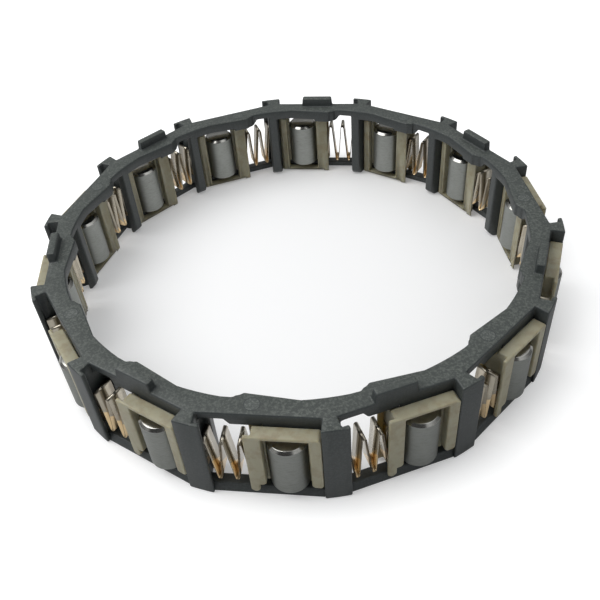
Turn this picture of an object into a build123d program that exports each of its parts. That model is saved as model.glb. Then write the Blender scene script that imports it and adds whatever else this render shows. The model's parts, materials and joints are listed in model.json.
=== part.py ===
from build123d import *

import os
from math import asin, atan2, cos, hypot, pi, sin, sqrt

# Roller one-way clutch of an automatic transmission, free of its races.
# A one-piece moulded cage holds fourteen pockets. In each pocket an accordion
# spring pushes a moulded retainer, and with it a steel roller, counter-clockwise
# towards the narrow end of the cam ramp that the outer race would have.
# Frame: millimetres, +Z up along the clutch axis, z = 0 on the lower post ends.
# A pocket is drawn in its own frame: X straight outwards through the middle of
# the window, Y along the chord counter-clockwise. A pair is (low, high).

# Driving dimensions
POCKETS = 14
OUTER_RADIUS = 62.0            # post faces, a running fit in the cam race
INNER_RADIUS = 54.15           # inside of the posts and of the top ring
HEIGHT = 21.6
WINDOW_HALF = 11.75            # half the chord between two posts
ROLLER_DIAMETER = 8.0
ROLLER_LENGTH = 13.7
PITCH = 360.0 / POCKETS
FIRST_POCKET = -90.0           # direction of the middle of pocket 1
OVERLAP = 0.6                  # joined solids run this far into each other
BEYOND = 4.0                   # cutting solids reach this far past their work

# Cage posts
SEAT_WALL = 55.3               # the spring end sits outside this wall ...
HOOK_WALL = 60.05              # ... and inside this hook
SEAT_TIP, HOOK_TIP = -10.1, -10.4
POST_CHAMFER = 1.4             # inner lower edge

# Cage rings
RING_FLAT = 57.75              # outer flats of the top ring
RING_THICK_Z = 18.3            # its underside at the bump, the lowest
RING_THIN_Z = 19.75            # its underside over the spring
RING_STEP = (-6.7, -5.7)       # the underside slopes down between these
RELIEF, RELIEF_Z = 0.6, 18.9   # past this it steps up, over the roller and the far leg
CORNER_RADIUS = 1.5            # window corner above the spring seat
LOWER_RING = (57.35, 59.85)
LOWER_RING_Z = (0.3, 2.0)
BUMP_ALONG = (-5.6, 7.5)
BUMP_TIP, BUMP_RADIUS = -3.4, 52.5
BUMP_CURVE = 1.6

# Cage details
LUG_WIDTH, LUG_TOP_WIDTH, LUG_DEPTH, LUG_HEIGHT = 8.8, 8.3, 1.9, 2.4

# Roller
ROLLER_CENTRE = (57.8, 4.9)
ROLLER_Z = 2.15
ROLLER_CHAMFER = 0.4

# Retainer
RETAINER = (54.9, 60.85)
RETAINER_ALONG = (-1.4, 11.7)     # it stops on the next post
RETAINER_Z = (0.2, 18.8)
OPENING_ALONG = (0.5, 9.4)
BAR = 0.85                     # thickness of the upper and lower bar
SHOULDER, SHOULDER_Z = 57.95, 17.95     # inside this the legs pass below the ring
NOTCH, NOTCH_Z = 57.15, 3.6            # outside this they stay above the lower ring
NOTCH_BEVEL = 0.7
LIP_TIP = -2.8                 # two lips reach this far round the spring end
INNER_LIP, OUTER_LIP = (54.9, 55.3), (60.05, 60.85)
SOLE_BEVEL = 0.5               # lower edge towards the inner race
FOOT_ALONG, FOOT_Z = (-2.8, -0.9), 1.3
FOOT_BEVEL = 0.6
LEG_BEVEL = 0.5                # lower corners of the outer legs
END_BEVEL, TOP_BEVEL = 0.75, 0.5       # inner and upper edge of the far end

# Spring
SPRING = (55.45, 59.9)
SPRING_Z = (3.5, 15.1)
RIBBON = 0.15
FOLDS, FOLD_FLATS = 6, 3
FOLD_RADIUS = 0.42             # to the middle of the ribbon
FOLD_FIRST, FOLD_PITCH = -10.7, 1.74
END_LEAF = 0.8                 # the first leaf ends this far above the low folds


def placed(solid, pocket):
    """Turns a solid drawn in the pocket's own frame into its place."""
    return Rot(0, 0, FIRST_POCKET + pocket * PITCH) * solid


def block(out, along, z):
    """Box between two limits along each axis of the pocket's frame."""
    low, high = Vector(out[0], along[0], z[0]), Vector(out[1], along[1], z[1])
    return Pos(*(low + high) / 2) * Box(*(high - low))


def post_sleeve():
    """Turned sleeve that the windows divide into posts."""
    profile = Polyline(
        (INNER_RADIUS, POST_CHAMFER),
        (INNER_RADIUS + POST_CHAMFER, 0),
        (OUTER_RADIUS, 0),
        (OUTER_RADIUS, HEIGHT),
        (INNER_RADIUS, HEIGHT),
        close=True,
    )
    return revolve(Plane.XZ * make_face(profile), Axis.Z)


def window():
    """Clear space of one pocket, with the hook and the seat wall left standing."""
    far_in, far_out = INNER_RADIUS - BEYOND, OUTER_RADIUS + BEYOND
    outline = Polyline(
        (far_in, SEAT_TIP),
        (SEAT_WALL, SEAT_TIP),
        (SEAT_WALL, -WINDOW_HALF),
        (HOOK_WALL, -WINDOW_HALF),
        (HOOK_WALL, HOOK_TIP),
        (far_out, HOOK_TIP),
        (far_out, WINDOW_HALF),
        (far_in, WINDOW_HALF),
        close=True,
    )
    return Pos(0, 0, -BEYOND) * extrude(make_face(outline), HEIGHT + 2 * BEYOND)


def bump():
    """Thumb of the top ring that reaches in above the inner race."""
    base = INNER_RADIUS + OVERLAP
    start, end = ((sqrt(INNER_RADIUS**2 - a**2), a) for a in BUMP_ALONG)
    tip = (sqrt(BUMP_RADIUS**2 - BUMP_TIP**2), BUMP_TIP)
    middle = ((start[0] + tip[0]) / 2, (start[1] + tip[1]) / 2)
    outline = [
        RadiusArc(start, middle, BUMP_CURVE),
        RadiusArc(middle, tip, -BUMP_CURVE),
        Line(tip, end),
        Line(end, (base, end[1])),
        Line((base, end[1]), (base, start[1])),
        Line((base, start[1]), start),
    ]
    return Pos(0, 0, RING_THICK_Z) * extrude(make_face(outline), HEIGHT - RING_THICK_Z)


def spring_relief():
    """Space below the thin part of the top ring, round at the post."""
    low, high = RING_THICK_Z - BEYOND, RING_THIN_Z
    start, end = RING_STEP
    slope = (end - start) / (high - RING_THICK_Z)
    corner = -WINDOW_HALF + CORNER_RADIUS
    foot = (end + slope * BEYOND, low)
    outline = [
        Line((-WINDOW_HALF, low), (-WINDOW_HALF, high - CORNER_RADIUS)),
        RadiusArc((-WINDOW_HALF, high - CORNER_RADIUS), (corner, high), CORNER_RADIUS),
        Line((corner, high), (start, high)),
        Line((start, high), foot),
        Line(foot, (-WINDOW_HALF, low)),
    ]
    near, far = INNER_RADIUS - BEYOND, OUTER_RADIUS + BEYOND
    return Pos(near, 0, 0) * extrude(Plane.YZ * make_face(outline), far - near)


def roller_relief():
    """Space below the top ring over the roller and the far leg of its retainer."""
    through = (INNER_RADIUS - BEYOND, OUTER_RADIUS + BEYOND)
    return block(through, (RELIEF, WINDOW_HALF), (RING_THICK_Z - BEYOND, RELIEF_Z))


def lug():
    """Raised block that locates the clutch against the neighbouring part."""
    low = Rectangle(LUG_DEPTH, LUG_WIDTH)
    high = Pos(0, 0, LUG_HEIGHT) * Rectangle(LUG_DEPTH, LUG_TOP_WIDTH)
    return Pos(RING_FLAT - LUG_DEPTH / 2, 0, HEIGHT) * loft([low, high])


def top_ring():
    """Fourteen-sided ring with one inward bump to each pocket and a lug on every other."""
    outside = RegularPolygon(RING_FLAT, POCKETS, major_radius=False)
    first_flat = FIRST_POCKET + PITCH / 2
    ring = extrude(Rot(0, 0, first_flat) * (outside - Circle(INNER_RADIUS)), HEIGHT - RING_THICK_Z)
    ring = Pos(0, 0, RING_THICK_Z) * ring
    ring += [placed(bump(), k) for k in range(POCKETS)]
    ring += [placed(lug(), k) for k in range(1, POCKETS, 2)]
    reliefs = (spring_relief(), roller_relief())
    return ring - [placed(relief, k) for relief in reliefs for k in range(POCKETS)]


def lower_ring():
    """Straight bars that tie the posts together at the bottom."""
    reach = WINDOW_HALF + OVERLAP
    bar = block(LOWER_RING, (-reach, reach), LOWER_RING_Z)
    return [placed(bar, k) for k in range(POCKETS)]


def cage():
    posts = post_sleeve() - [placed(window(), k) for k in range(POCKETS)]
    posts += lower_ring()
    return (posts + top_ring()).solid()


def roller():
    body = Cylinder(ROLLER_DIAMETER / 2, ROLLER_LENGTH)
    ends = body.edges().filter_by(GeomType.CIRCLE)
    return Pos(*ROLLER_CENTRE, ROLLER_Z + ROLLER_LENGTH / 2) * chamfer(ends, ROLLER_CHAMFER)


def retainer_frame():
    """Four-sided frame: legs that straddle both rings, and two thin bars."""
    (inside, outside), (bottom, top) = RETAINER, RETAINER_Z
    side = Polyline(
        (inside, bottom + SOLE_BEVEL),
        (inside + SOLE_BEVEL, bottom),
        (NOTCH, bottom),
        (NOTCH, NOTCH_Z - NOTCH_BEVEL),
        (NOTCH + NOTCH_BEVEL, NOTCH_Z),
        (outside, NOTCH_Z),
        (outside, top),
        (SHOULDER, top),
        (SHOULDER, SHOULDER_Z),
        (inside, SHOULDER_Z),
        close=True,
    )
    start, end = RETAINER_ALONG
    frame = Pos(0, end, 0) * extrude(Plane.XZ * make_face(side), end - start)
    far_end = frame.edges().group_by(Axis.Y)[-1]
    frame = chamfer(far_end.filter_by(Axis.Z).sort_by(Axis.X)[0], END_BEVEL)
    far_end = frame.edges().group_by(Axis.Y)[-1]
    frame = chamfer(far_end.filter_by(Axis.X).sort_by(Axis.Z)[-1], TOP_BEVEL)
    through = (inside - BEYOND, outside + BEYOND)
    frame -= block(through, OPENING_ALONG, (bottom + BAR, top - BAR))
    corners = frame.edges().filter_by(Axis.X).filter_by_position(Axis.Z, NOTCH_Z, NOTCH_Z)
    return chamfer(corners.sort_by(Axis.Y)[1:], LEG_BEVEL)


def retainer():
    """Frame that guides the roller, with two lips that take the spring end."""
    foot = block(OUTER_LIP, FOOT_ALONG, (FOOT_Z, NOTCH_Z + LEG_BEVEL))
    foot = chamfer(foot.edges().filter_by(Axis.X).group_by(Axis.Z)[0], FOOT_BEVEL)
    outer_lip = block(OUTER_LIP, (LIP_TIP, RETAINER_ALONG[0]), (NOTCH_Z, RETAINER_Z[1]))
    inner_lip = block(INNER_LIP, (LIP_TIP, RETAINER_ALONG[0]), (RETAINER_Z[0], SHOULDER_Z))
    return (retainer_frame() + foot + outer_lip + inner_lip).solid()


def fold(along, z, up):
    """Corners of one fold, which turns over from leaf to leaf in short flats."""
    rise = SPRING_Z[1] - SPRING_Z[0] - 2 * FOLD_RADIUS - RIBBON
    lean = atan2(FOLD_PITCH, rise) - asin(2 * FOLD_RADIUS / hypot(FOLD_PITCH, rise))
    turns = [lean + (pi - 2 * lean) * n / FOLD_FLATS for n in range(FOLD_FLATS + 1)]
    return [(along - FOLD_RADIUS * cos(a), z + up * FOLD_RADIUS * sin(a)) for a in turns]


def spring():
    """Flat ribbon folded to and fro between the seat and the retainer."""
    low, high = SPRING_Z[0] + FOLD_RADIUS + RIBBON / 2, SPRING_Z[1] - FOLD_RADIUS - RIBBON / 2
    corners = [(-WINDOW_HALF + RIBBON, low + END_LEAF)]
    for n in range(FOLDS):
        z, up = (low, -1) if n % 2 else (high, 1)
        corners += fold(FOLD_FIRST + n * FOLD_PITCH, z, up)
    corners.append((RETAINER_ALONG[0] - RIBBON, high - 2 * END_LEAF))
    ribbon = Plane.YZ * trace(Polyline(*corners), RIBBON)
    return Pos(SPRING[0], 0, 0) * extrude(ribbon, SPRING[1] - SPRING[0])


def main():
    os.makedirs("parts", exist_ok=True)
    export_step(cage(), "parts/cage.step")
    pieces = {"retainer": retainer(), "roller": roller(), "spring": spring()}
    for name, piece in pieces.items():
        for k in range(POCKETS):
            export_step(placed(piece, k), f"parts/{name}_{k + 1:02d}.step")


main()
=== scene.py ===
# %% [markdown]
# # A roller one-way clutch
#
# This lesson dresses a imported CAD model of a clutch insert. A dark moulded cage
# has fourteen windows. In each one a folded strip spring pushes a pale retainer,
# and the retainer carries a steel roller. The sizes and places of the main pieces
# are read from the frame. The flanges, pin marks, ribs, chamfers and the way the
# springs fold have their own numbers here.

# %% Load the frame and keep its size
import json
import random
from math import cos, hypot, pi, radians, sin, tau

import bmesh
import bpy
from mathutils import Matrix, Vector

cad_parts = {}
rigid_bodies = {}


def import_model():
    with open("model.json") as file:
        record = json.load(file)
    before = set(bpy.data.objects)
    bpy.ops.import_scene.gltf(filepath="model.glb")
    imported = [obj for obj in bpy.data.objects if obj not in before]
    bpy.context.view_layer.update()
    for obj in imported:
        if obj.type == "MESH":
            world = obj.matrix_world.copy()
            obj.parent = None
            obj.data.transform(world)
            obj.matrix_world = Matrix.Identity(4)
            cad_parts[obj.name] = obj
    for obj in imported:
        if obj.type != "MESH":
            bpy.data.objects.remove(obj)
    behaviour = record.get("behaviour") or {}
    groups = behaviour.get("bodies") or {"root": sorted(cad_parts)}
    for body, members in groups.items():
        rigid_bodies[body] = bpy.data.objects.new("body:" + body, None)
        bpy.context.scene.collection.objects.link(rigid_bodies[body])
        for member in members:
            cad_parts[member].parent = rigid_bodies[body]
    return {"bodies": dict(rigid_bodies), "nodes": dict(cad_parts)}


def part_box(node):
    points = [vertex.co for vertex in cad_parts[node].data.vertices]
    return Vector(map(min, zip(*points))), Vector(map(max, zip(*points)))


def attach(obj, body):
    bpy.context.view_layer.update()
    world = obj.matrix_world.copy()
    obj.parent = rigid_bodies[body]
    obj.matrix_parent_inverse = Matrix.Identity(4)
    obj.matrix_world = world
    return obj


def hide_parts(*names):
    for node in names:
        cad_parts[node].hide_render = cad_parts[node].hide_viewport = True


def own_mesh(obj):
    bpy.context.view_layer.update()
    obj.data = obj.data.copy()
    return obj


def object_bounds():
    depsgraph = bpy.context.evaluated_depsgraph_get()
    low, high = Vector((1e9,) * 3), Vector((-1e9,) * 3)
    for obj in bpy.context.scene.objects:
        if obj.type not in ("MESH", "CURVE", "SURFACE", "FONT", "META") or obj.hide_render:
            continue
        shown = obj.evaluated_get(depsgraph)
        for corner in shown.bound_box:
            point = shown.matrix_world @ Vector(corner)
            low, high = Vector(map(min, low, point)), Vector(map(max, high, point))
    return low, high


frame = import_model()
cad_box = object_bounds()
MM = 0.001
POCKETS = sum(name.startswith("retainer_body") for name in frame["bodies"])
FIRST_POCKET = -90.0
print("pockets", POCKETS, "size in mm", [round(v / MM, 1) for v in cad_box[1] - cad_box[0]])

# %% [markdown]
# ## One pocket's own frame
#
# All pockets are the same, turned about the clutch axis. So a piece is modelled
# once in a pocket frame, with X pointing outwards, Y along the window and Z up,
# and then its mesh is turned into place. The object itself stays at the origin,
# because the export expects the place to be in the mesh.

# %% Helpers: turning into a pocket and making an object
def pocket_turn(pocket):
    """Turn that takes the pocket's own frame to its place on the clutch."""
    return Matrix.Rotation(radians(FIRST_POCKET + pocket * 360 / POCKETS), 4, "Z")


def pocket_box(kind):
    """A first-pocket node's limits as (out, along, up), each a pair."""
    low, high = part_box(kind + "_01")
    return (-high.y, -low.y), (low.x, high.x), (low.z, high.z)


def new_piece(name, bm, materials, smooth=True):
    mesh = bpy.data.meshes.new(name)
    bm.to_mesh(mesh)
    bm.free()
    for polygon in mesh.polygons:
        polygon.use_smooth = smooth
    piece = bpy.data.objects.new(name, mesh)
    bpy.context.scene.collection.objects.link(piece)
    for material in materials:
        mesh.materials.append(material)
    return piece


SHARP_EDGE = radians(28)


def round_edges(piece, width, segments=3):
    """Rounds every sharp edge, as a moulding or a tumbled part has them."""
    bevel = piece.modifiers.new("rounded edges", "BEVEL")
    bevel.width = width
    bevel.segments = segments
    bevel.loop_slide = False
    bevel.limit_method = "ANGLE"
    bevel.angle_limit = SHARP_EDGE
    bevel.harden_normals = True
    bevel.use_clamp_overlap = False


roller_out, roller_along, roller_up = pocket_box("roller")
spring_out, spring_along, spring_up = pocket_box("spring")
print("roller in mm", [round((b - a) / MM, 2) for a, b in (roller_out, roller_along, roller_up)])

# %% [markdown]
# ## Short words for shader nodes
#
# The materials and the room need the same few steps again and again: a sum or a
# product, and a smooth change from one value to another. Each gets one function,
# so that a shader below reads like a formula.

# %% Node helpers
def feed(tree, socket, value):
    """Sets a socket to a number, or links it to another node's output."""
    if isinstance(value, bpy.types.NodeSocket):
        tree.links.new(value, socket)
    else:
        socket.default_value = value


def maths(tree, operation, *values, clamp=False):
    step = tree.nodes.new("ShaderNodeMath")
    step.operation = operation
    step.use_clamp = clamp
    for socket, value in zip(step.inputs, values):
        feed(tree, socket, value)
    return step.outputs[0]


def smooth_map(tree, value, start, end, low=0.0, high=1.0):
    """Goes smoothly from low to high while the value goes from start to end."""
    slope = tree.nodes.new("ShaderNodeMapRange")
    slope.interpolation_type = "SMOOTHSTEP"
    for name, limit in (("From Min", start), ("From Max", end), ("To Min", low), ("To Max", high)):
        slope.inputs[name].default_value = limit
    tree.links.new(value, slope.inputs["Value"])
    return slope.outputs["Result"]


def colour_mix(tree, factor, first, second):
    mix = tree.nodes.new("ShaderNodeMix")
    mix.data_type = "RGBA"
    for name, value in (("Factor", factor), ("A", first), ("B", second)):
        tree.links.new(value, mix.inputs[name])
    return mix.outputs["Result"]


def object_place(tree):
    return tree.nodes.new("ShaderNodeTexCoord").outputs["Object"]


print("node helpers ready")

# %% [markdown]
# ## A shared surface effect
#
# No real surface has one even colour. Glass-filled nylon shows pale fibre flecks,
# natural nylon clouds slightly, and ground steel has a fine haze. One node group
# makes all three: it mixes a second colour in by noise, shifts the roughness with
# the same noise and raises a little relief. Each material sets its own numbers.

# %% The fleck group
FLECK_START, FLECK_FULL = 0.42, 0.68
PATCH_GAIN, PATCH_BASE = 1.1, 0.2


def make_fleck_group():
    group = bpy.data.node_groups.new("fleck", "ShaderNodeTree")
    sockets = group.interface
    for name, kind, value in (
        ("Colour", "NodeSocketColor", (0.5, 0.5, 0.5, 1)),
        ("Fleck colour", "NodeSocketColor", (0.8, 0.8, 0.8, 1)),
        ("Amount", "NodeSocketFloat", 0.3),
        ("Grain", "NodeSocketFloat", 2000.0),
        ("Cloud", "NodeSocketFloat", 120.0),
        ("Roughness", "NodeSocketFloat", 0.5),
        ("Roughness spread", "NodeSocketFloat", 0.1),
        ("Relief", "NodeSocketFloat", 0.3),
        ("Stretch", "NodeSocketVector", (1, 1, 1)),
    ):
        socket = sockets.new_socket(name=name, in_out="INPUT", socket_type=kind)
        socket.default_value = value
    sockets.new_socket(name="Colour", in_out="OUTPUT", socket_type="NodeSocketColor")
    sockets.new_socket(name="Roughness", in_out="OUTPUT", socket_type="NodeSocketFloat")
    sockets.new_socket(name="Normal", in_out="OUTPUT", socket_type="NodeSocketVector")
    add, link = group.nodes.new, group.links.new
    given, out = add("NodeGroupInput").outputs, add("NodeGroupOutput").inputs
    place = object_place(group)
    stretch = add("ShaderNodeVectorMath")
    stretch.operation = "MULTIPLY"
    link(place, stretch.inputs[0])
    link(given["Stretch"], stretch.inputs[1])
    grain, cloud = add("ShaderNodeTexNoise"), add("ShaderNodeTexNoise")
    grain.inputs["Detail"].default_value = 3.0
    grain.inputs["Roughness"].default_value = 0.65
    link(stretch.outputs[0], grain.inputs["Vector"])
    link(given["Grain"], grain.inputs["Scale"])
    link(place, cloud.inputs["Vector"])
    link(given["Cloud"], cloud.inputs["Scale"])
    flecks = smooth_map(group, grain.outputs["Fac"], FLECK_START, FLECK_FULL)
    patchy = maths(group, "MULTIPLY_ADD", cloud.outputs["Fac"], PATCH_GAIN, PATCH_BASE)
    share = maths(group, "MULTIPLY", flecks, patchy)
    weight = maths(group, "MULTIPLY", share, given["Amount"], clamp=True)
    link(colour_mix(group, weight, given["Colour"], given["Fleck colour"]), out["Colour"])
    rough = maths(
        group, "MULTIPLY_ADD", cloud.outputs["Fac"], given["Roughness spread"], given["Roughness"])
    link(rough, out["Roughness"])
    bump = add("ShaderNodeBump")
    bump.inputs["Distance"].default_value = 0.05 * MM
    link(given["Relief"], bump.inputs["Strength"])
    link(grain.outputs["Fac"], bump.inputs["Height"])
    link(bump.outputs["Normal"], out["Normal"])
    return group


FLECK = make_fleck_group()


def surface(name, colour, fleck_colour, metal=0.0, **values):
    """Material whose Principled BSDF takes its colour, roughness and normal from the fleck group."""
    material = bpy.data.materials.new(name)
    material.use_nodes = True
    nodes, links = material.node_tree.nodes, material.node_tree.links
    shader = nodes["Principled BSDF"]
    shader.inputs["Metallic"].default_value = metal
    fleck = nodes.new("ShaderNodeGroup")
    fleck.node_tree = FLECK
    fleck.name = "fleck"
    fleck.inputs["Colour"].default_value = (*colour, 1)
    fleck.inputs["Fleck colour"].default_value = (*fleck_colour, 1)
    for key, value in values.items():
        fleck.inputs[key.replace("_", " ").capitalize()].default_value = value
    links.new(fleck.outputs["Colour"], shader.inputs["Base Color"])
    links.new(fleck.outputs["Roughness"], shader.inputs["Roughness"])
    links.new(fleck.outputs["Normal"], shader.inputs["Normal"])
    return material, shader

# %% [markdown]
# ## The finishes
#
# The cage is black nylon with glass fibre. Its moulded sides are smooth and dark.
# The flat top shows the fibres and gets its own material. That material is also
# painted lighter than the sides: painted light for the faces that look up.
# The retainers are undyed nylon: pale, waxy and slightly translucent, which is what
# subsurface scattering is for. The rollers are ground steel with polished ends. The
# springs are strip steel, browner along their sheared edges, with a painted warm
# reflection in straw colour on the low folds.

# %% Nylon and steel
cage_side, _ = surface(
    "cage moulded sides", (0.032, 0.038, 0.038), (0.065, 0.075, 0.072),
    amount=0.5, grain=2300.0, cloud=90.0, roughness=0.42, roughness_spread=0.14, relief=0.2)
# The top's fibre flecks are real. Its extra lightness over the sides is painted light for faces that look
# up.
cage_top_painted_lighter, _ = surface(
    "cage top face, painted lighter", (0.047, 0.054, 0.050), (0.155, 0.17, 0.15),
    amount=0.66, grain=2100.0, cloud=60.0, roughness=0.42, roughness_spread=0.2, relief=0.4)
pin_mark, _ = surface(
    "ejector pin mark", (0.058, 0.066, 0.062), (0.18, 0.195, 0.175),
    amount=0.75, grain=1900.0, cloud=80.0, roughness=0.40, roughness_spread=0.18, relief=0.3)
nylon, nylon_shader = surface(
    "natural nylon", (0.34, 0.32, 0.225), (0.24, 0.195, 0.12),
    amount=0.6, grain=420.0, cloud=160.0, roughness=0.40, roughness_spread=0.15, relief=0.12)
nylon_shader.inputs["Subsurface Weight"].default_value = 0.6
nylon_shader.inputs["Subsurface Radius"].default_value = (1.0, 0.85, 0.55)
nylon_shader.inputs["Subsurface Scale"].default_value = 1.5 * MM
ground_steel, _ = surface(
    "ground steel", (0.25, 0.26, 0.245), (0.17, 0.17, 0.155), metal=1.0,
    amount=0.6, grain=900.0, cloud=220.0, roughness=0.42, roughness_spread=0.12,
    relief=0.25, stretch=(1, 1, 7))
polished_steel, _ = surface(
    "polished steel", (0.40, 0.395, 0.37), (0.27, 0.26, 0.23), metal=1.0,
    amount=0.5, grain=900.0, cloud=300.0, roughness=0.14, roughness_spread=0.10, relief=0.08)
strip_steel, strip_shader = surface(
    "spring strip", (0.42, 0.385, 0.315), (0.30, 0.255, 0.195), metal=1.0,
    amount=0.8, grain=160.0, cloud=260.0, roughness=0.24, roughness_spread=0.08,
    relief=0.1)
strip_edge, _ = surface(
    "spring sheared edge", (0.16, 0.13, 0.10), (0.28, 0.20, 0.12), metal=1.0,
    amount=0.8, grain=700.0, cloud=260.0, roughness=0.45, roughness_spread=0.1, relief=0.3)

# %% [markdown]
# A warm straw colour is drawn round the low folds as a painted reflection, for the
# warm light that bounces inside them. Its edge climbs towards the outside of the strip.

# %% Painted reflection on the spring strip
def make_fold_reflection_group(low, climb, wobble):
    group = bpy.data.node_groups.new("fold_reflection", "ShaderNodeTree")
    sockets = group.interface
    for name in ("Steel", "Painted reflection"):
        sockets.new_socket(name=name, in_out="INPUT", socket_type="NodeSocketColor")
    sockets.new_socket(name="Colour", in_out="OUTPUT", socket_type="NodeSocketColor")
    add, link = group.nodes.new, group.links.new
    given, out = add("NodeGroupInput").outputs, add("NodeGroupOutput").inputs
    place = object_place(group)
    parts, flat = add("ShaderNodeSeparateXYZ"), add("ShaderNodeVectorMath")
    link(place, parts.inputs[0])
    flat.operation = "MULTIPLY"
    flat.inputs[1].default_value = (1, 1, 0)
    link(place, flat.inputs[0])
    out_from_axis = add("ShaderNodeVectorMath")
    out_from_axis.operation = "LENGTH"
    link(flat.outputs[0], out_from_axis.inputs[0])
    line = maths(group, "MULTIPLY_ADD", out_from_axis.outputs["Value"], -climb, parts.outputs["Z"])
    noise = add("ShaderNodeTexNoise")
    noise.inputs["Scale"].default_value = 400.0
    link(place, noise.inputs["Vector"])
    uneven = maths(group, "MULTIPLY_ADD", noise.outputs["Fac"], wobble, line)
    edge = smooth_map(group, uneven, low, low + REFLECTION_FADE)
    link(colour_mix(group, edge, given["Painted reflection"], given["Steel"]), out["Colour"])
    return group


CLIMB, REFLECTION_HEIGHT, REFLECTION_WOBBLE, REFLECTION_FADE = 1.0, 1.1 * MM, 0.6 * MM, 0.4 * MM
reflection_low = spring_up[0] + REFLECTION_HEIGHT - CLIMB * hypot(spring_out[0], sum(spring_along) / 2)
# The painted reflection's straw colour goes into the strip's colour round the low folds.
fold_reflection = strip_steel.node_tree.nodes.new("ShaderNodeGroup")
fold_reflection.node_tree = make_fold_reflection_group(reflection_low, CLIMB, REFLECTION_WOBBLE)
fold_reflection.inputs["Painted reflection"].default_value = (0.74, 0.56, 0.33, 1)
strip_links = strip_steel.node_tree.links
strip_links.new(strip_steel.node_tree.nodes["fleck"].outputs["Colour"], fold_reflection.inputs["Steel"])
strip_links.new(fold_reflection.outputs["Colour"], strip_shader.inputs["Base Color"])
print("finishes", len(bpy.data.materials))

# %% [markdown]
# ## The cage
#
# The CAD cage already has the right shape, but its edges are perfectly sharp and
# sharp edges catch no light. We copy its mesh, merge the loose triangles, dissolve
# the flat ones back into faces and join points that stand too close together. A
# bevel modifier then rounds the edges. It isn't clamped, so at the smallest steps
# it runs slightly past them. High faces that look up get the flecked top material,
# and its lighter colour is painted light, as if more light fell on them.

# %% Rounded copies of CAD nodes
SAME_POINT, SHORTEST_EDGE, FLAT_ENOUGH = 0.002 * MM, 0.35 * MM, radians(0.6)
CAGE_ROUNDING, TOP_ABOVE, LOOKS_UP = 0.38 * MM, 15 * MM, 0.95


def thin_out(bm, shortest):
    """Joins neighbouring points that stand too close for the rounding to fit between."""
    while True:
        short, used = [], set()
        for edge in sorted(bm.edges, key=lambda edge: edge.calc_length()):
            if edge.calc_length() > shortest:
                break
            if used.isdisjoint(edge.verts):
                short.append(edge)
                used.update(edge.verts)
        if not short:
            return
        bmesh.ops.collapse(bm, edges=short, uvs=False)


def merged_copy(node):
    """The node's mesh as a bmesh, with its triangles joined back into flat faces."""
    bm = bmesh.new()
    bm.from_mesh(frame["nodes"][node].data)
    bmesh.ops.remove_doubles(bm, verts=bm.verts, dist=SAME_POINT)
    bmesh.ops.dissolve_limit(
        bm, angle_limit=FLAT_ENOUGH, verts=bm.verts, edges=bm.edges, use_dissolve_boundaries=False)
    bmesh.ops.connect_verts_concave(bm, faces=bm.faces)
    thin_out(bm, SHORTEST_EDGE)
    return bm


cage_mesh = merged_copy("cage")
# Faces that look up get the top material, painted lighter as if more light fell on them.
for face in cage_mesh.faces:
    high = face.calc_center_median().z > TOP_ABOVE
    face.material_index = 1 if high and face.normal.z > LOOKS_UP else 0
cage = new_piece("cage_moulding", cage_mesh, (cage_side, cage_top_painted_lighter))
round_edges(cage, CAGE_ROUNDING)
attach(cage, "cage_body")
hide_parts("cage")
print("cage faces", len(cage.data.polygons))

# %% [markdown]
# Two thin flanges finish the cage: one widens the foot of the lower ring, and one
# hangs below the outer edge of the top ring, in front of the roller.

# %% Flanges
FOOT_FLANGE = (
    (59.3 * MM, 0.04 * MM), (60.4 * MM, 0.04 * MM), (60.4 * MM, 0.5 * MM),
    (59.87 * MM, 1.6 * MM), (59.3 * MM, 1.6 * MM))
FOOT_ALONG = (-11.7 * MM, 11.7 * MM)
EDGE_FLANGE = (
    (57.2 * MM, 18.03 * MM), (57.74 * MM, 18.03 * MM),
    (57.74 * MM, 19.3 * MM), (57.2 * MM, 19.3 * MM))
EDGE_ALONG = (0.7 * MM, 11.7 * MM)
FLANGE_ROUNDING = 0.1 * MM


def add_bar(bm, pocket, outline, along):
    """A straight bar with this outline, as (out, up) points, between two places along the window."""
    corners = [bm.verts.new((out, along[0], up)) for out, up in outline]
    face = bm.faces.new(corners)
    grown = bmesh.ops.extrude_face_region(bm, geom=[face])["geom"]
    end = [item for item in grown if isinstance(item, bmesh.types.BMVert)]
    bmesh.ops.translate(bm, verts=end, vec=(0, along[1] - along[0], 0))
    bmesh.ops.transform(bm, matrix=pocket_turn(pocket), verts=corners + end)


flange_mesh = bmesh.new()
for pocket in range(POCKETS):
    add_bar(flange_mesh, pocket, FOOT_FLANGE, FOOT_ALONG)
    add_bar(flange_mesh, pocket, EDGE_FLANGE, EDGE_ALONG)
bmesh.ops.recalc_face_normals(flange_mesh, faces=flange_mesh.faces)
flanges = new_piece("cage_flanges", flange_mesh, (cage_side,))
round_edges(flanges, FLANGE_ROUNDING, 2)
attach(flanges, "cage_body")
print("flanges", 2 * POCKETS)

# %% [markdown]
# Pins push the hot moulding off its tool and leave marks. Every second pocket gets
# one: a flat disc, a hair proud of the ring. Its thin darker outline is painted
# shade, standing in for a groove round the mark.

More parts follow.
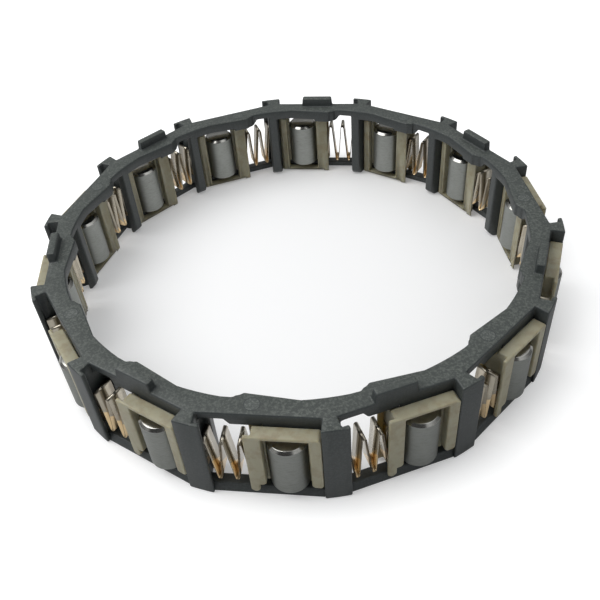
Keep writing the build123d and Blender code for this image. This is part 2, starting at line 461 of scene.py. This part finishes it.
# %% Ejector pin marks
PIN_PLACE, PIN_RADIUS, PIN_PROUD = (55.3 * MM, -1.4 * MM), 1.6 * MM, 0.02 * MM
PIN_GROOVE_SHADE_WIDTH, RING_TOP = 0.16 * MM, 21.6 * MM
marks_mesh = bmesh.new()
for pocket in range(0, POCKETS, 2):
    disc = bmesh.ops.create_circle(marks_mesh, cap_ends=True, segments=40, radius=PIN_RADIUS)["verts"]
    for vert in disc:
        vert.co = pocket_turn(pocket) @ (vert.co + Vector((*PIN_PLACE, RING_TOP - PIN_PROUD)))
tops = bmesh.ops.extrude_face_region(marks_mesh, geom=marks_mesh.faces[:])["geom"]
bmesh.ops.translate(
    marks_mesh, verts=[item for item in tops if isinstance(item, bmesh.types.BMVert)],
    vec=(0, 0, 2 * PIN_PROUD))
bmesh.ops.recalc_face_normals(marks_mesh, faces=marks_mesh.faces)
caps = [face for face in marks_mesh.faces if face.normal.z > 0.9]
# The inset ring round each cap takes the darker side material: painted shade of a groove.
for face in bmesh.ops.inset_individual(marks_mesh, faces=caps, thickness=PIN_GROOVE_SHADE_WIDTH)["faces"]:
    face.material_index = 1
marks = new_piece("ejector_marks", marks_mesh, (pin_mark, cage_side), smooth=False)
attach(marks, "cage_body")
print("ejector marks", POCKETS // 2)

# %% [markdown]
# ## The retainers
#
# Every retainer is the same moulding, so each is made from its own CAD node in
# the same way as the cage, with a little less rounding. Two hollowed ribs are
# added, one on each side of the roller. They are invented and the CAD doesn't have
# them. They stand in for whatever hides the background close beside the roller.

# %% Fourteen retainers
ROLLER_RADIUS = (roller_out[1] - roller_out[0]) / 2
ROLLER_AXIS = (sum(roller_out) / 2, sum(roller_along) / 2)
GUIDE_GAP, GUIDE_BACK, GUIDE_HALF, GUIDE_STEPS = 0.08 * MM, 0.8 * MM, 1.1 * MM, 4
RETAINER_ROUNDING = 0.3 * MM
GUIDE_LOW, GUIDE_HIGH = roller_up[0] + 0.7 * MM, roller_up[1] + 2.05 * MM


def add_guide(bm, side):
    """A hollowed rib inside the window, close to the roller on one side of it."""
    arc = ROLLER_RADIUS + GUIDE_GAP
    outline = []
    for step in range(-GUIDE_STEPS, GUIDE_STEPS + 1):
        out = GUIDE_HALF * step / GUIDE_STEPS
        outline.append((out, side * (arc * arc - out * out) ** 0.5))
    outline += [(GUIDE_HALF, side * (arc + GUIDE_BACK)), (-GUIDE_HALF, side * (arc + GUIDE_BACK))]
    corners = [
        bm.verts.new((ROLLER_AXIS[0] + out, ROLLER_AXIS[1] + along, GUIDE_LOW)) for out, along in outline]
    foot = bm.faces.new(corners)
    lifted = bmesh.ops.extrude_face_region(bm, geom=[foot])["geom"]
    top = [item for item in lifted if isinstance(item, bmesh.types.BMVert)]
    bmesh.ops.translate(bm, verts=top, vec=(0, 0, GUIDE_HIGH - GUIDE_LOW))
    return corners + top


for pocket in range(POCKETS):
    number = f"{pocket + 1:02d}"
    node = f"retainer_{number}"
    retainer_mesh = merged_copy(node)
    guide_mesh = bmesh.new()
    for side in (-1, 1):
        add_guide(guide_mesh, side)
    bmesh.ops.recalc_face_normals(guide_mesh, faces=guide_mesh.faces)
    bmesh.ops.transform(guide_mesh, matrix=pocket_turn(pocket), verts=guide_mesh.verts)
    rib = bpy.data.meshes.new("rib")
    guide_mesh.to_mesh(rib)
    guide_mesh.free()
    retainer_mesh.from_mesh(rib)
    bpy.data.meshes.remove(rib)
    retainer = new_piece(f"retainer_frame_{number}", retainer_mesh, (nylon,))
    round_edges(retainer, RETAINER_ROUNDING)
    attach(retainer, f"retainer_body_{number}")
    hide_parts(node)
print("retainers", POCKETS)

# %% [markdown]
# ## The rollers
#
# A roller is turned and ground, so it is spun from half of its outline. Each end is
# flat, with a shallow cone at its rim and then a chamfer. The ends are polished,
# and only the cylinder between them has the ground finish.

# %% Spinning one roller
RIM_WIDTH, RIM_DROP = 0.8 * MM, 0.18 * MM
CHAMFER, ROLLER_ROUNDING = 0.58 * MM, 0.08 * MM
STEPS_ROUND, UPRIGHT = 64, 0.1


def roller_mesh(pocket):
    low, high = roller_up
    rim = ROLLER_RADIUS - CHAMFER
    face = rim - RIM_WIDTH
    profile = [(0, 0), (face, 0), (rim, RIM_DROP), (ROLLER_RADIUS, RIM_DROP + CHAMFER)]
    half = [(out, low + drop) for out, drop in profile]
    half += [(out, high - drop) for out, drop in reversed(profile)]
    bm = bmesh.new()
    corners = [bm.verts.new((out, 0, up)) for out, up in half]
    for first, second in zip(corners, corners[1:]):
        bm.edges.new((first, second))
    bmesh.ops.spin(
        bm, geom=bm.verts[:] + bm.edges[:], cent=(0, 0, 0), axis=(0, 0, 1), dvec=(0, 0, 0),
        angle=tau, steps=STEPS_ROUND, use_merge=True, use_normal_flip=False, use_duplicate=False)
    bmesh.ops.remove_doubles(bm, verts=bm.verts, dist=SAME_POINT / 2)
    bmesh.ops.recalc_face_normals(bm, faces=bm.faces)
    for face in bm.faces:
        face.material_index = 0 if abs(face.normal.z) < UPRIGHT else 1
    bmesh.ops.translate(bm, verts=bm.verts, vec=(*ROLLER_AXIS, 0))
    bmesh.ops.transform(bm, matrix=pocket_turn(pocket), verts=bm.verts)
    return bm


for pocket in range(POCKETS):
    number = f"{pocket + 1:02d}"
    roller = new_piece(f"roller_ground_{number}", roller_mesh(pocket), (ground_steel, polished_steel))
    round_edges(roller, ROLLER_ROUNDING, 2)
    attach(roller, f"roller_body_{number}")
    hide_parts(f"roller_{number}")
print("rollers", POCKETS)

# %% [markdown]
# ## The springs
#
# A spring is one strip folded to and fro. We start from a single edge across the
# strip and grow it: extruding the edge makes a straight leaf, and spinning it
# makes a fold. Solidify then gives the strip its thickness. No two springs are
# folded quite alike, so each one's folds are shifted by a small random amount.

# %% Growing a folded strip
STRIP = 0.10 * MM
FOLDS = 6
FOLD_RADIUS = 0.42 * MM
FOLD_PITCH = 1.74 * MM
FIRST_FOLD = -10.7 * MM
END_LEAF = 0.8 * MM
LEAF_TILT, FOLD_STEPS, LARGEST_LEAN = radians(4.9), 8, 0.22


def strip_mesh(pocket, lean):
    low = spring_up[0] + FOLD_RADIUS + STRIP / 2
    high = spring_up[1] - FOLD_RADIUS - STRIP / 2
    bm = bmesh.new()
    start = (spring_along[0] + STRIP / 2, low + END_LEAF)
    ends = [bm.verts.new((out, *start)) for out in spring_out]
    front = [bm.edges.new(ends)]

    def advance(along, up):
        """Extrudes the front edge to a point, as one straight leaf."""
        made = bmesh.ops.extrude_edge_only(bm, edges=front)["geom"]
        tips = [item for item in made if isinstance(item, bmesh.types.BMVert)]
        middle = sum((tip.co for tip in tips), Vector()) / 2
        bmesh.ops.translate(bm, verts=tips, vec=(0, along - middle.y, up - middle.z))
        front[:] = [
            item for item in made
            if isinstance(item, bmesh.types.BMEdge) and set(item.verts) == set(tips)]

    for fold in range(FOLDS):
        crest = fold % 2 == 0
        centre = (FIRST_FOLD + fold * FOLD_PITCH + (lean if crest else -lean), high if crest else low)
        side = 1 if crest else -1
        advance(centre[0] - FOLD_RADIUS * cos(LEAF_TILT), centre[1] + side * FOLD_RADIUS * sin(LEAF_TILT))
        turned = bmesh.ops.spin(
            bm, geom=front + list(front[0].verts), cent=(0, *centre), axis=(-side, 0, 0), dvec=(0, 0, 0),
            angle=pi - 2 * LEAF_TILT, steps=FOLD_STEPS, use_merge=False, use_normal_flip=False,
            use_duplicate=False)
        front[:] = [item for item in turned["geom_last"] if isinstance(item, bmesh.types.BMEdge)]
    advance(spring_along[1] - STRIP / 2, high - 2 * END_LEAF)
    bmesh.ops.recalc_face_normals(bm, faces=bm.faces)
    bmesh.ops.transform(bm, matrix=pocket_turn(pocket), verts=bm.verts)
    return bm


random.seed(7)
for pocket in range(POCKETS):
    number = f"{pocket + 1:02d}"
    lean = random.uniform(-LARGEST_LEAN, LARGEST_LEAN) * MM
    spring = new_piece(f"spring_strip_{number}", strip_mesh(pocket, lean), (strip_steel, strip_edge))
    thick = spring.modifiers.new("strip thickness", "SOLIDIFY")
    thick.thickness = STRIP
    thick.offset = 0
    thick.material_offset_rim = 1
    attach(spring, "cage_body")
    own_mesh(spring)
    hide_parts(f"spring_{number}")
print("springs", POCKETS)

# %% [markdown]
# ## The room
#
# The clutch stands on white paper under one broad soft lamp at its left, in a room
# that is brighter overhead than at its sides. One direction high in front is dark,
# which gives the polished ends of the rollers something dark to show.
#
# The camera sees the paper glow, more outside the ring than inside, and sees a white
# room behind it. Reflections see another glow, inside the ring only and stronger
# there, and see the room as it is. So metal doesn't show the background that the
# camera sees: it is darker outside the ring and brighter inside.

# %% Floor, light and world
def plane(size, height):
    bm = bmesh.new()
    bmesh.ops.create_grid(bm, x_segments=1, y_segments=1, size=size)
    bmesh.ops.translate(bm, verts=bm.verts, vec=(0, 0, height))
    return bm


paper = bpy.data.materials.new("white paper")
paper.use_nodes = True
paper_shader = paper.node_tree.nodes["Principled BSDF"]
paper_shader.inputs["Roughness"].default_value = 0.9
paper_shader.inputs["Specular IOR Level"].default_value = 0.1
sheet = paper.node_tree
ray = sheet.nodes.new("ShaderNodeLightPath").outputs
from_middle = sheet.nodes.new("ShaderNodeVectorMath")
from_middle.operation = "LENGTH"
sheet.links.new(object_place(sheet), from_middle.inputs[0])
distance = from_middle.outputs["Value"]
SEEN_INSIDE, SEEN_OUTSIDE, MIRRORED_INSIDE = 0.20, 0.51, 0.40
seen_glow = smooth_map(sheet, distance, 54 * MM, 72 * MM, SEEN_INSIDE, SEEN_OUTSIDE)
mirror_glow = smooth_map(sheet, distance, 50 * MM, 64 * MM, MIRRORED_INSIDE, 0.0)
mirrored = maths(sheet, "ADD", ray["Is Glossy Ray"], ray["Is Transmission Ray"])
glow = maths(
    sheet, "ADD", maths(sheet, "MULTIPLY", ray["Is Camera Ray"], seen_glow),
    maths(sheet, "MULTIPLY", mirrored, mirror_glow))
sheet.links.new(glow, paper_shader.inputs["Emission Strength"])
paper_shader.inputs["Emission Color"].default_value = (1, 1, 1, 1)
paper_shader.inputs["Base Color"].default_value = (0.76, 0.76, 0.76, 1)
FLOOR_HALF_WIDTH, FLOOR_HEIGHT = 3.0, -0.02 * MM
floor = new_piece("floor", plane(FLOOR_HALF_WIDTH, FLOOR_HEIGHT), (paper,), smooth=False)


def lamp(name, size, watts, place, aim=(0, 0, 0)):
    light = bpy.data.lights.new(name, "AREA")
    light.shape = "DISK"
    light.size = size
    light.energy = watts
    obj = bpy.data.objects.new(name, light)
    bpy.context.scene.collection.objects.link(obj)
    obj.location = place
    obj.rotation_mode = "QUATERNION"
    obj.rotation_quaternion = (Vector(aim) - Vector(place)).to_track_quat("-Z", "Y")


lamp("softbox at the left", 0.40, 1.2, (-0.24, -0.05, 0.36))
world = bpy.data.worlds.new("studio")
world.use_nodes = True
room = world.node_tree
direction = room.nodes.new("ShaderNodeTexCoord").outputs["Generated"]
split = room.nodes.new("ShaderNodeSeparateXYZ")
room.links.new(direction, split.inputs[0])
LOW_ROOM, HIGH_ROOM, FRONT_ROOM, BACK_ROOM = 0.24, 1.1, 1.1, 0.7
overhead = smooth_map(room, split.outputs["Z"], 0.2, 0.85, LOW_ROOM, HIGH_ROOM)
away = smooth_map(room, split.outputs["Y"], -0.6, 0.7, FRONT_ROOM, BACK_ROOM)
DARK_WAY, DARK_EDGE, DARK_MIDDLE, DARK_SHARE = Vector((-0.1, -0.72, 0.68)), 0.77, 0.90, 0.10
facing = room.nodes.new("ShaderNodeVectorMath")
facing.operation = "DOT_PRODUCT"
facing.inputs[1].default_value = DARK_WAY.normalized()
room.links.new(direction, facing.inputs[0])
dark = smooth_map(room, facing.outputs["Value"], DARK_EDGE, DARK_MIDDLE, 1.0, DARK_SHARE)
strength = maths(room, "MULTIPLY", maths(room, "MULTIPLY", overhead, away), dark)
backdrop = room.nodes.new("ShaderNodeMix")
backdrop.data_type = "FLOAT"
backdrop.inputs["B"].default_value = 1.0
ray = room.nodes.new("ShaderNodeLightPath").outputs
room.links.new(ray["Is Camera Ray"], backdrop.inputs["Factor"])
room.links.new(strength, backdrop.inputs["A"])
background = room.nodes["Background"]
room.links.new(backdrop.outputs["Result"], background.inputs["Strength"])
background.inputs["Color"].default_value = (0.97, 0.985, 1.0, 1)
bpy.context.scene.world = world
print("floor, lamp and room ready")

# %% [markdown]
# ## The camera
#
# The camera looks down at the clutch from the front, a little from one side and
# slightly tilted. Its distance and aim are given in outer radii of the clutch.

# %% Camera
FOCAL, SENSOR, DISTANCE = 1.2131, 36.0, 2.9844
ELEVATION, TILT, ROUND = radians(42.917), radians(-5.096), radians(9.91)
reach = cad_box[1].x
AIM = Vector((-0.0062, -0.0673, 0))
aim = Matrix.Rotation(ROUND, 4, "Z") @ (AIM * reach)
back = Matrix.Rotation(ROUND, 4, "Z") @ Vector((0, -cos(ELEVATION), sin(ELEVATION)))
camera_data = bpy.data.cameras.new("camera")
camera_data.lens = FOCAL * SENSOR
camera_data.sensor_width = SENSOR
camera_data.clip_start = 0.01
camera = bpy.data.objects.new("camera", camera_data)
bpy.context.scene.collection.objects.link(camera)
camera.location = aim + back * DISTANCE * reach
camera.rotation_mode = "QUATERNION"
camera.rotation_quaternion = back.to_track_quat("Z", "Y") @ Matrix.Rotation(TILT, 3, "Z").to_quaternion()
bpy.context.scene.camera = camera
bpy.context.scene.view_settings.view_transform = "Standard"
